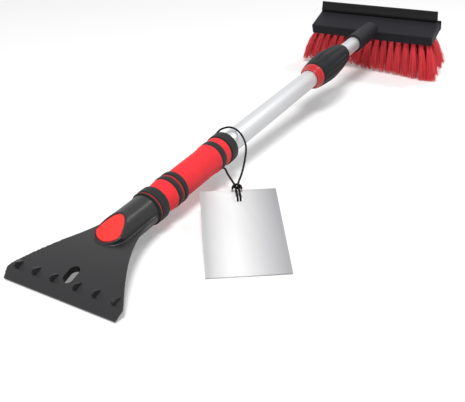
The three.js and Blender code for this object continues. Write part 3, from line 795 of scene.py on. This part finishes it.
class BROOM_OT_scraper(bpy.types.Operator):
    """Models the scraper with its neck, blade and teeth"""

    bl_idname = "broom.scraper"
    bl_label = "Scraper"

    def execute(self, context):
        sizes = context.scene.broom_sizes
        neck = sizes.neck / MM
        barrel = neck_barrel("scraper_moulding", neck, 15, 0.4)
        sliced(barrel, *cut_plane(0))
        chin = math.radians(19)
        sliced(barrel, (0, -59, -4), (0, -math.sin(chin), -math.cos(chin)))
        moulding = joined([barrel, self.blade(0.6, 0)])
        blended(moulding, sizes.scraper_grain)
        combined(moulding, self.blade(0, 26), "INTERSECT")
        teeth = [self.tooth(side * x) for x in (11.5, 30, 48.5) for side in (-1, 1)]
        combined(moulding, bevelled(joined(teeth), 0.25, segments=2), "UNION")
        for cutter in self.cutters():
            combined(moulding, cutter, "DIFFERENCE")
        material = moulded_abs(
            "moulded_abs_scraper", context.scene.broom_colours.scraper, roughness=0.33
        )
        finished(moulding, POLE, material, "handle", "black_plastic", "scraper_head")
        return {"FINISHED"}

    def blade(self, spare, reach):
        """The fan from the webs by the neck to the scraping edge, drooping to its crest.

        It is made with spare width to melt into the neck, or reaching above and below to
        trim that moulding to its crisp outline.
        """
        t = np.linspace(0, 1, 40)[:, None]
        fan = bezier(t, *np.array([(57.9, -105.5), (38, -76), (17, -44.3), (14.9, -4.5)]))
        fan = np.vstack([(55.75, EDGE), (57.95, -105.8), fan[1:]])
        top = bezier(t, *np.array([(-60.1, 1), (-84.9, 0.2), (-105.5, -7)]))
        top = np.vstack([(EDGE, -13.4), top[::-1], (-4.5, 1)])
        under = bezier(t, *np.array([(-60.1, -4), (-84.9, -4.8), (-111.1, -15.16)]))
        under = np.vstack([(EDGE, -14.0), under[::-1], (-4.5, -4)])

        deselect()
        bpy.ops.mesh.primitive_grid_add(x_subdivisions=24, y_subdivisions=100, size=2)
        blade = named("blade")
        edit_all()
        bpy.ops.mesh.extrude_region_move(TRANSFORM_OT_translate={"value": (0, 0, -1)})
        bpy.ops.object.mode_set(mode="OBJECT")
        for vertex in blade.data.vertices:
            station = np.interp(vertex.co.y, (-1, 1), (EDGE - spare, 4 if reach else -4.5))
            half = np.interp(station, fan[:, 1], fan[:, 0])
            narrower = np.interp(
                station, (EDGE, -108, -75, -58, -45, -30, -8),
                (1.2, 3.8, 2.6, 3.2, 3.6, 4.0, 1.0),
            )
            # The crest is rounded over a few mm
            ease = max(0, min(4, station - EDGE))
            near = station + np.linspace(-ease, ease, 5)
            height = np.interp(near, top[:, 0], top[:, 1]).mean()
            below = np.interp(station, under[:, 0], under[:, 1])
            # The side slopes from the top's edge to the underside's, or on past both
            slope = narrower / max(height - below, 3)
            if vertex.co.z > -0.5:
                half, height = half + slope * reach, height + reach
            else:
                half, height = half - narrower - slope * reach / 3, below - reach
            vertex.co = (vertex.co.x * (half + spare) * MM, station * MM, height * MM)
        close_up()
        return blade

    def tooth(self, x):
        """A narrow ice tooth, square to the crest's slope, with its tip over its front."""
        deselect()
        bpy.ops.mesh.primitive_cone_add(
            vertices=4, radius1=math.sqrt(2) * MM, radius2=math.sqrt(2) * 0.3 * MM,
            depth=6.9 * MM, rotation=(0, 0, math.pi / 4),
        )
        tooth = named("tooth")
        bpy.ops.object.transform_apply()
        for vertex in tooth.data.vertices:
            if vertex.co.z < 0:
                vertex.co.x *= 2.1
                vertex.co.y = vertex.co.y * 4.4 + 0.8 * MM
            else:
                vertex.co.x = vertex.co.x * 2.1 + 0.8 * MM
                vertex.co.y = vertex.co.y * 4.6 - 1.9 * MM
            vertex.co.z += 3.45 * MM
        tooth.rotation_euler = (math.radians(24.8), 0, 0)
        tooth.location = (x * MM, -101.2 * MM, -7.2 * MM)
        bpy.ops.object.transform_apply()
        return tooth

    def cutters(self):
        """The bore for the tube, the inlay's bed, the hanging slot and the screw's hole."""
        bore = turned("bore", [(OUTER_BORE, -25), (OUTER_BORE, 3)], hollow=False)
        bed = neck_barrel("inlay_bed", 13.9, 13.4, 0)
        sliced(bed, *cut_plane(-2, side=-1))
        slot = rod("slot", 4.7, 60, (0, -94.5, 0), sides=64)
        for vertex in slot.data.vertices:
            vertex.co.y += 3.4 * MM if vertex.co.y > 0 else -3.4 * MM
        return [bore, bed, slot, *screw_cutters(NECK_SCREW, OUTER_BORE)]


class BROOM_OT_inlay(bpy.types.Operator):
    """Models the red inlay of the scraper's neck"""

    bl_idname = "broom.inlay"
    bl_label = "Neck inlay"

    def execute(self, context):
        inlay = neck_barrel("neck_inlay_satin", 13.4, 12.7, 0)
        sliced(inlay, *cut_plane(0.3))
        sliced(inlay, *cut_plane(-1.7, side=-1))
        bevelled(inlay, 0.55, segments=4, angle=50)
        material = glossy_abs("polished_red_abs", context.scene.broom_colours.inlay, 0.42)
        finished(inlay, POLE, material, "handle", "red_plastic", "neck_inlay")
        return {"FINISHED"}


class BROOM_OT_screws(bpy.types.Operator):
    """Models the screws under the neck and under the socket"""

    bl_idname = "broom.screws"
    bl_label = "Screws"

    def execute(self, context):
        material = plated_steel("zinc_plated_steel")
        for name, station, bore, body, node in (
            ("neck_screw", NECK_SCREW, OUTER_BORE, "handle", "scraper_screw"),
            ("head_screw", SOCKET_SCREW, INNER_BORE, "head", "socket_screw"),
        ):
            screw = turned(name, [
                (1.5, bore - 2.6), (1.5, bore + 1.7), (3.3, bore + 1.7), (3.3, bore + 2.3),
                (2.7, bore + 2.75), (1.6, bore + 3.0),
            ], sides=48, hollow=False)
            cross_cut(screw, (3.4, 2, 0.7), (0, bore + 3.2, 0))
            down = Matrix.Rotation(-math.pi / 2, 4, "X")
            spot = POLE @ Matrix.Translation((0, station * MM, 0)) @ down
            finished(screw, spot, material, body, "screw_steel", node)
        return {"FINISHED"}


# ---- Grip, tubes and twist lock ----

class BROOM_OT_grip(bpy.types.Operator):
    """Models the foam rings of the grip"""

    bl_idname = "broom.grip"
    bl_label = "Foam grip"

    def execute(self, context):
        sizes = context.scene.broom_sizes
        colours = context.scene.broom_colours
        foams = {
            "red": eva_foam("red_eva_foam", colours.red_foam),
            # A darker copy of the red foam, with painted shade for the recessed thin discs
            "shade_painted_red": eva_foam("shade_painted_red_eva_foam", colours.shade_painted_red_foam),
            "black": eva_foam("black_eva_foam", colours.black_foam),
        }
        bore = sizes.outer_tube / MM + 0.3
        for node, start, span, thicknesses, shade in FOAM_RINGS:
            steps = np.linspace(0, 1, max(2, round(span / 2)))
            known = np.linspace(0, 1, len(thicknesses))
            outside = [
                (bore + float(np.interp(s, known, thicknesses)), start + span * float(s))
                for s in steps
            ]
            ring = turned(
                node.replace("grip", "foam"),
                [*outside, (bore, start + span), (bore, start)], sides=112,
            )
            corner = min(sizes.foam_corner / MM, span / 3)
            bevelled(ring, corner, segments=3, angle=50)
            slot = "black_foam" if shade == "black" else "red_foam"
            finished(ring, POLE, foams[shade], "handle", slot, node, angle=60)
        return {"FINISHED"}


class BROOM_OT_tubes(bpy.types.Operator):
    """Models the two aluminium tubes and finishes the guide bush"""

    bl_idname = "broom.tubes"
    bl_label = "Tubes"

    def execute(self, context):
        sizes = context.scene.broom_sizes
        wall = sizes.tube_wall / MM
        material = anodised_aluminium(
            "anodised_aluminium", context.scene.broom_colours.aluminium
        )
        for node, radius, start, end, body in (
            ("outer_tube", sizes.outer_tube / MM, -24.7, 353.5, "handle"),
            ("inner_tube", sizes.inner_tube / MM, 53.1, 537.1, "head"),
        ):
            tube = turned(node + "_drawn", [
                (radius, start), (radius, end), (radius - wall, end), (radius - wall, start),
            ], sides=128)
            bevelled(tube, 0.2, segments=2)
            finished(tube, POLE, material, body, "tube_aluminium", node)
        bush = frame["nodes"]["glide_bush"]
        bush.material_slots[0].material = acetal("moulded_acetal")
        return {"FINISHED"}


class BROOM_OT_lock(bpy.types.Operator):
    """Models the twist lock: its red collar and its fluted black sleeve"""

    bl_idname = "broom.lock"
    bl_label = "Twist lock"

    def execute(self, context):
        sizes = context.scene.broom_sizes
        colours = context.scene.broom_colours
        collar = self.collar()
        material = glossy_abs("polished_red_abs_collar", colours.collar)
        finished(collar, POLE, material, "handle", "red_plastic", "collet_base")
        sleeve = self.sleeve(sizes.sleeve_flute / MM)
        material = moulded_abs("moulded_abs_sleeve", colours.sleeve, gloss=0.08)
        finished(sleeve, POLE, material, "lock", "black_plastic", "twist_lock_sleeve", angle=50)
        return {"FINISHED"}

    def collar(self):
        """The collar with its flange, rings for its thread, and its slotted fingers."""
        thread = []
        for turn in range(9):
            start = 346.5 + 3.2 * turn
            thread += [(12.5, start), (13.1, start + 0.8), (13.1, start + 1.2), (12.5, start + 2)]
        collar = turned("lock_collar", [
            (OUTER_BORE, 333.0), (12.2, 333.0), (12.2, 334.9), (12.6, 336.4), (15.5, 341.6),
            (15.5, 344.5), (12.5, 344.5), *thread, (12.5, THREAD_END), (12.6, THREAD_END),
            (11.6, COLLET_TIP), (INNER_BORE, COLLET_TIP), (INNER_BORE, 353.8),
            (OUTER_BORE, 353.8),
        ], sides=96)
        cross_cut(collar, (1.2, 24, 60), (0, 389.5, 0))
        return bevelled(collar, 0.25, segments=2, angle=50)

    def sleeve(self, depth):
        """A barrel with flutes that fade out at both rims."""
        start, end = SLEEVE_START, SLEEVE_START + SLEEVE_LENGTH
        stations = np.linspace(0, SLEEVE_LENGTH, 30)
        radii = np.interp(
            stations, (0, 2.6, 15, 31.7, 44, 68.6, 85.4, SLEEVE_LENGTH),
            (15.8, 16.5, 17.7, 18.8, 18.6, 16.7, 13.9, 12.9),
        )
        for _ in range(3):
            radii[2:-2] = (radii[1:-3] + 2 * radii[2:-2] + radii[3:-1]) / 4
        outside = [(float(r), start + float(s)) for r, s in zip(radii, stations)]
        sleeve = turned("lock_sleeve", [
            *outside, (9.9, end), (9.9, end - 8), (12.0, end - 8),
            (12.0, COLLET_TIP), (13.0, THREAD_END), (13.5, THREAD_END), (13.5, start),
        ], sides=144)
        first, last = 0.02, 0.93  # the flutes' ends, as shares of the sleeve
        for vertex in sleeve.data.vertices:
            place = sleeve.matrix_world @ vertex.co
            along = (place.y / MM - start) / SLEEVE_LENGTH
            radius = math.hypot(place.x, place.z) / MM
            if radius < 13.6 or not first < along < last:
                continue
            fade = min(1, (along - first) / 0.14, (last - along) / 0.2)
            wave = (1 + math.cos(FLUTES * math.atan2(place.x, place.z))) / 2
            shrink = 1 - depth * fade * (3 - 2 * fade) * fade * wave ** 2.4 / radius
            place.x *= shrink
            place.z *= shrink
            vertex.co = sleeve.matrix_world.inverted() @ place
        return sleeve


# ---- Brush head ----

ROW_STATIONS = [5.6 + 9.1 * row for row in range(4)]
TUFT_PITCH = 10.675
RAIL = 42.0  # middle of the squeegee along the head's Y
TUFT_RADIUS = 2.4  # of the roots
FAN = (-112, -11.5, 92)  # places of the tips of a row's first, middle and last tuft
TIP_LIMITS = (-118.6, 111)  # how far the tips reach to both sides
# Sweep of the tips along the head's Y: places across the head, distances
SWEEP = ((-115, -43, -11, 24, 60, 79, 92), (8, 14, 4, 3, -4, -11, -8))
FLOOR_GAP = 0.0003  # metres between the floor and the tips that rest on it


def tuft_places(row):
    """Tufts of a row across the block; every other row is set half a pitch in."""
    count = 17 - row % 2
    return [TUFT_PITCH * (tuft - (count - 1) / 2) for tuft in range(count)]


class BROOM_OT_block(bpy.types.Operator):
    """Models the brush block with its socket and its tuft holes"""

    bl_idname = "broom.block"
    bl_label = "Brush block"

    def execute(self, context):
        sizes = context.scene.broom_sizes
        width, depth = sizes.block_width / MM, sizes.block_depth / MM
        height = sizes.block_height / MM
        block = box("brush_head_moulding", (width, depth, height), (0, depth / 2, -height / 2))
        bevelled(block, 1.2, segments=2)
        socket = turned("socket", [
            (11.2, 479.4), (12.2, 479.4), (12.5, 479.9), (12.5, 545.6), (11.9, 546.9),
            (10.5, 547.6),
        ], sides=128, hollow=False)
        to_head = HEAD.inverted() @ POLE
        placed(socket, to_head)
        sliced(socket, (0, 0, -height), (0, 0, -1))
        moulding = blended(joined([block, socket]), HEAD_GRAIN * MM)
        bore = turned("bore", [(INNER_BORE, 478), (INNER_BORE, 537.4)], hollow=False)
        for cutter in (bore, *screw_cutters(SOCKET_SCREW, INNER_BORE)):
            combined(moulding, placed(cutter, to_head), "DIFFERENCE")
        tufts = [
            rod("tuft_hole", 2.6, 6, (x, y, -height), sides=16)
            for row, y in enumerate(ROW_STATIONS) for x in tuft_places(row)
        ]
        combined(moulding, joined(tufts), "DIFFERENCE")
        material = moulded_abs(
            "moulded_abs_head", context.scene.broom_colours.head, gloss=0.1
        )
        finished(moulding, HEAD, material, "head", "black_plastic", "brush_block")
        return {"FINISHED"}


class BROOM_OT_squeegee(bpy.types.Operator):
    """Models the squeegee's rail and its rubber blade"""

    bl_idname = "broom.squeegee"
    bl_label = "Squeegee"

    def execute(self, context):
        colours = context.scene.broom_colours
        rail = drawn("squeegee_rail", [
            (-3.2, -13.8), (3.2, -13.8), (3.2, -0.8),
            (1.6, -0.8), (1.6, -6.1), (-1.6, -6.1),
            (-1.6, -0.8), (-3.2, -0.8),
        ], RAIL, 183.4)
        bevelled(rail, 0.4)
        material = moulded_abs("moulded_abs_rail", colours.head, gloss=0.1)
        finished(rail, HEAD, material, "head", "black_plastic", "squeegee_holder")

        blade = drawn("squeegee_rubber", [
            (-1.3, -5.8), (1.3, -5.8), (1.3, -0.5),
            (2.9, -0.5), (3.5, 0.8), (3.6, 2.2),
            (3.4, 3.8), (3.6, 8.0), (4.2, 13),
            (2.0, 13), (0.2, 9.0), (-1.9, 5.8),
            (-3.3, 4.4), (-3.8, 2.8), (-3.6, 0.9),
            (-3.1, -0.5), (-1.3, -0.5),
        ], RAIL, 177)
        bevelled(blade, 0.3)
        # The blade sits a little to the left in its rail
        spot = HEAD @ Matrix.Translation((-2.1 * MM, 0, 0))
        material = moulded_rubber("moulded_rubber", colours.rubber)
        finished(blade, spot, material, "head", "blade_rubber", "squeegee_blade")
        return {"FINISHED"}


class BROOM_OT_bristles(bpy.types.Operator):
    """Models the rows of bristles, strand by strand"""

    bl_idname = "broom.bristles"
    bl_label = "Bristles"

    def execute(self, context):
        sizes = context.scene.broom_sizes
        material = bristle_plastic("extruded_polypropylene", context.scene.broom_colours.bristle)
        thick = sizes.strand / MM / 2
        strand = turned("strand", [
            (thick, 0), (thick, 350), (thick * 0.9, 700), (thick * 0.7, 1000),
        ], sides=3, hollow=False)
        form = placed(strand, Matrix.Identity(4)).data
        corners = np.array([v.co for v in form.vertices]) / MM
        corners[:, 1] /= 1000
        faces = [tuple(p.vertices) for p in form.polygons]
        bpy.data.objects.remove(strand, do_unlink=True)
        for row in range(len(ROW_STATIONS)):
            self.row(row, corners, faces, sizes, material)
        return {"FINISHED"}

    def row(self, row, corners, faces, sizes, material):
        """Copies the strand along every curve of one row, in tufts that fan out."""
        rng = np.random.default_rng(11 + row)
        roots, tips = self.strands(row, sizes, rng)
        floor_height = np.array(HEAD)[2]
        heights = [p @ floor_height[:3] * MM + floor_height[3] for p in (roots, tips)]
        share = np.clip((heights[0] - FLOOR_GAP) / (heights[0] - heights[1]), 0, 1)
        tips = roots + (tips - roots) * share[:, None]
        knees = (roots + tips) / 2
        knees[:, :2] = roots[:, :2] + (tips - roots)[:, :2] * rng.uniform(
            0.55, 0.85, (len(roots), 1)
        )
        t = corners[None, :, 1, None]
        spine = bezier(t, roots[:, None], knees[:, None], tips[:, None])
        spin = rng.uniform(0, 2 * math.pi, len(roots))[:, None]
        side = corners[None, :, 0] * np.cos(spin) - corners[None, :, 2] * np.sin(spin)
        front = corners[None, :, 0] * np.sin(spin) + corners[None, :, 2] * np.cos(spin)
        spine[:, :, 0] += side
        spine[:, :, 1] += front
        places = spine.reshape(-1, 3) * MM
        count = len(corners)
        mesh = bpy.data.meshes.new(f"bristles_{row + 1}")
        mesh.from_pydata(
            places.tolist(), [],
            [[i + count * k for i in face] for k in range(len(roots)) for face in faces],
        )
        tint = mesh.attributes.new("tint", "FLOAT", "POINT")
        shades = np.repeat(rng.beta(2, 2, len(roots)), count)
        tint.data.foreach_set("value", shades.astype(np.float32))
        piece = linked(mesh.name, mesh)
        close_up(merge=False)
        finished(
            piece, HEAD, material, "head", "red_bristle", f"bristle_row_{row + 1}", angle=80
        )

    def strands(self, row, sizes, rng):
        """Root and tip of every strand of a row, swept to one side, in the head's frame."""
        count = sizes.strands_per_tuft
        height, reach = sizes.block_height / MM, sizes.bristle / MM
        lean_back = 4 * (2 * row / (len(ROW_STATIONS) - 1) - 1)
        roots, tips = [], []
        places = tuft_places(row)
        for x in places:
            middle = np.interp(x, (places[0], 0, places[-1]), FAN)
            forward = np.interp(middle, *SWEEP)
            if middle > 40:
                forward += (middle - 40) / 52 * 4 * row
            radius = np.sqrt(rng.uniform(0, 1, count))
            angle = rng.uniform(0, 2 * math.pi, count)
            dx, dy = radius * np.cos(angle), radius * np.sin(angle)
            root = np.stack([
                x + TUFT_RADIUS * dx, ROW_STATIONS[row] + TUFT_RADIUS * dy,
                np.full(count, 2.4 - height),
            ], 1)
            stray = rng.normal(0, 1, (3, count))
            tip = np.stack([
                middle + 7.4 * dx + 1.1 * stray[0] + rng.normal(0, 0.8),
                ROW_STATIONS[row] + lean_back + forward + 1.2 + 6.4 * dy + 1.1 * stray[1],
                -height - reach + 1.3 * np.abs(stray[2]) + rng.uniform(0, 1.5),
            ], 1)
            tip[:, 0] = np.clip(tip[:, 0], *TIP_LIMITS)
            roots.append(root)
            tips.append(tip)
        return np.vstack(roots), np.vstack(tips)


# ---- Panel and run ----

STEPS = (
    BROOM_OT_stage, BROOM_OT_cord, BROOM_OT_tag, BROOM_OT_scraper, BROOM_OT_inlay,
    BROOM_OT_screws, BROOM_OT_grip, BROOM_OT_tubes, BROOM_OT_lock, BROOM_OT_block,
    BROOM_OT_squeegee, BROOM_OT_bristles,
)


class BROOM_PT_sidebar(bpy.types.Panel):
    """Lists the broom's pieces, sizes and colours"""

    bl_idname = "BROOM_PT_sidebar"
    bl_label = "Snow Broom"
    bl_space_type = "VIEW_3D"
    bl_region_type = "UI"
    bl_category = "Broom"

    def draw(self, context):
        for step in STEPS:
            self.layout.operator(step.bl_idname)
        for settings in (context.scene.broom_sizes, context.scene.broom_colours):
            column = self.layout.column()
            for name in settings.bl_rna.properties.keys():
                if name not in ("rna_type", "name"):
                    column.prop(settings, name)


CLASSES = (BroomSizes, BroomColours, *STEPS, BROOM_PT_sidebar)


def register():
    for item in CLASSES:
        bpy.utils.register_class(item)
    bpy.types.Scene.broom_sizes = bpy.props.PointerProperty(type=BroomSizes)
    bpy.types.Scene.broom_colours = bpy.props.PointerProperty(type=BroomColours)


def unregister():
    del bpy.types.Scene.broom_colours
    del bpy.types.Scene.broom_sizes
    for item in reversed(CLASSES):
        bpy.utils.unregister_class(item)


def main():
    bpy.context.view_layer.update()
    register()
    for step in STEPS:
        group, name = step.bl_idname.split(".")
        getattr(getattr(bpy.ops, group), name)()
    bpy.context.view_layer.update()


if __name__ == "__main__":
    main()
